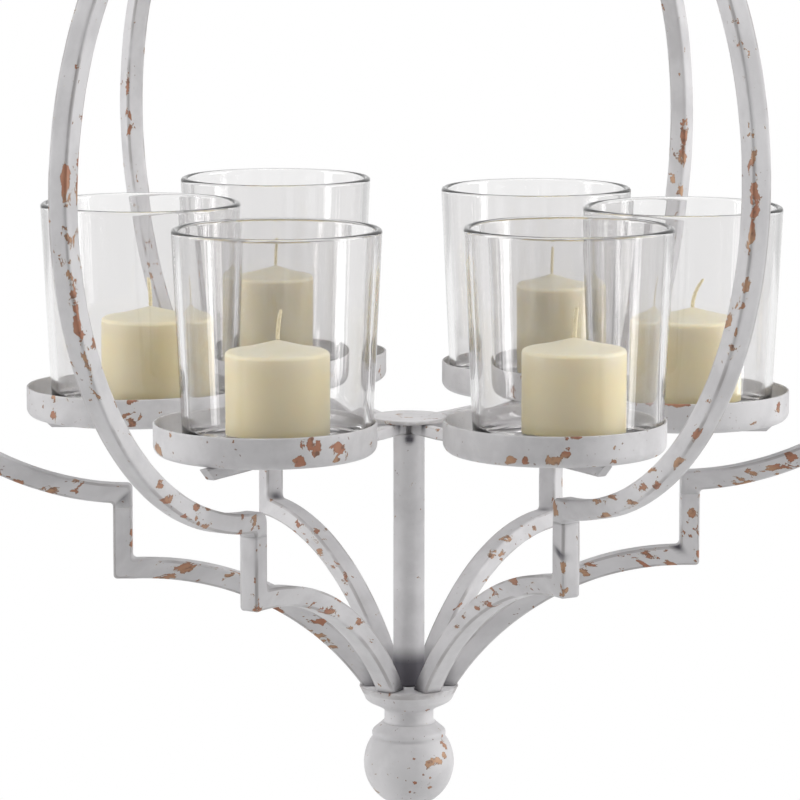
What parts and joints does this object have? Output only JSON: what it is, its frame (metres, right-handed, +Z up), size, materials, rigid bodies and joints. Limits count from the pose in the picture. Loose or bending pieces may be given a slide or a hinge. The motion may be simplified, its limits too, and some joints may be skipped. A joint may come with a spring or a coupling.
{
  "type": "hanging candle holder",
  "caption": "Hanging candle holder: a bowed cage of distressed white square bar around glass cups with squat candles on round trays, over a turned ball finial.",
  "frame": {"origin": "the inside of the hanging ring at its top, where a hook carries it", "axes": "+Z up; +X along the bar that points right in the picture, -Y towards the viewer; the cage hangs below the origin"},
  "size_m": [0.575, 0.4988, 0.7036],
  "materials": {
    "paint": "matt off-white paint, chipped along its edges down to a copper-brown undercoat",
    "glass": "clear, thick and smooth",
    "wax": "ivory wax, satin and slightly translucent",
    "wick": "waxed cotton, unburnt"
  },
  "bodies": {
    "ring": {"hanging_ring": "paint"},
    "link": {"chain_link": "paint"},
    "frame": {"lower_cup": "paint", "finial_ball": "paint", "post_tube": "paint", "tie_rod": "paint", "hub_plate": "paint", "upper_cup": "paint", "eye_bolt": "paint", "eye_nut": "paint", "lower_bar_right": "paint", "lower_bar_back_right": "paint", "lower_bar_back_left": "paint", "lower_bar_left": "paint", "lower_bar_front_left": "paint", "lower_bar_front_right": "paint", "bow_right": "paint", "bow_back_right": "paint", "bow_back_left": "paint", "bow_left": "paint", "bow_front_left": "paint", "bow_front_right": "paint", "upper_bar_right": "paint", "upper_bar_back_right": "paint", "upper_bar_back_left": "paint", "upper_bar_left": "paint", "upper_bar_front_left": "paint", "upper_bar_front_right": "paint", "tray_arm_right": "paint", "tray_arm_back_right": "paint", "tray_arm_back_left": "paint", "tray_arm_left": "paint", "tray_arm_front_left": "paint", "tray_arm_front_right": "paint", "tray_right": "paint", "tray_back_right": "paint", "tray_back_left": "paint", "tray_left": "paint", "tray_front_left": "paint", "tray_front_right": "paint"},
    "glass_right": {"glass_right": "glass"},
    "candle_right": {"candle_right": "wax", "wick_right": "wick"},
    "glass_back_right": {"glass_back_right": "glass"},
    "candle_back_right": {"candle_back_right": "wax", "wick_back_right": "wick"},
    "glass_back_left": {"glass_back_left": "glass"},
    "candle_back_left": {"candle_back_left": "wax", "wick_back_left": "wick"},
    "glass_left": {"glass_left": "glass"},
    "candle_left": {"candle_left": "wax", "wick_left": "wick"},
    "glass_front_left": {"glass_front_left": "glass"},
    "candle_front_left": {"candle_front_left": "wax", "wick_front_left": "wick"},
    "glass_front_right": {"glass_front_right": "glass"},
    "candle_front_right": {"candle_front_right": "wax", "wick_front_right": "wick"}
  },
  "joints": [
    {"name": "link_swing", "type": "hinge", "parent": "ring", "child": "link", "pos_m": [0, 0, -0.0465], "axis": [1, 0, 0], "range_deg": [-20, 20]},
    {"name": "frame_swing", "type": "hinge", "parent": "link", "child": "frame", "pos_m": [0, 0, -0.0757], "axis": [0, 1, 0], "range_deg": [-20, 20]},
    {"name": "glass_lift_right", "type": "slide", "parent": "frame", "child": "glass_right", "axis": [0, 0, 1], "range_m": [0, 0.102]},
    {"name": "candle_lift_right", "type": "slide", "parent": "glass_right", "child": "candle_right", "axis": [0, 0, 1], "range_m": [0, 0.096]},
    {"name": "glass_lift_back_right", "type": "slide", "parent": "frame", "child": "glass_back_right", "axis": [0, 0, 1], "range_m": [0, 0.102]},
    {"name": "candle_lift_back_right", "type": "slide", "parent": "glass_back_right", "child": "candle_back_right", "axis": [0, 0, 1], "range_m": [0, 0.096]},
    {"name": "glass_lift_back_left", "type": "slide", "parent": "frame", "child": "glass_back_left", "axis": [0, 0, 1], "range_m": [0, 0.102]},
    {"name": "candle_lift_back_left", "type": "slide", "parent": "glass_back_left", "child": "candle_back_left", "axis": [0, 0, 1], "range_m": [0, 0.096]},
    {"name": "glass_lift_left", "type": "slide", "parent": "frame", "child": "glass_left", "axis": [0, 0, 1], "range_m": [0, 0.102]},
    {"name": "candle_lift_left", "type": "slide", "parent": "glass_left", "child": "candle_left", "axis": [0, 0, 1], "range_m": [0, 0.096]},
    {"name": "glass_lift_front_left", "type": "slide", "parent": "frame", "child": "glass_front_left", "axis": [0, 0, 1], "range_m": [0, 0.102]},
    {"name": "candle_lift_front_left", "type": "slide", "parent": "glass_front_left", "child": "candle_front_left", "axis": [0, 0, 1], "range_m": [0, 0.096]},
    {"name": "glass_lift_front_right", "type": "slide", "parent": "frame", "child": "glass_front_right", "axis": [0, 0, 1], "range_m": [0, 0.102]},
    {"name": "candle_lift_front_right", "type": "slide", "parent": "glass_front_right", "child": "candle_front_right", "axis": [0, 0, 1], "range_m": [0, 0.096]}
  ]
}
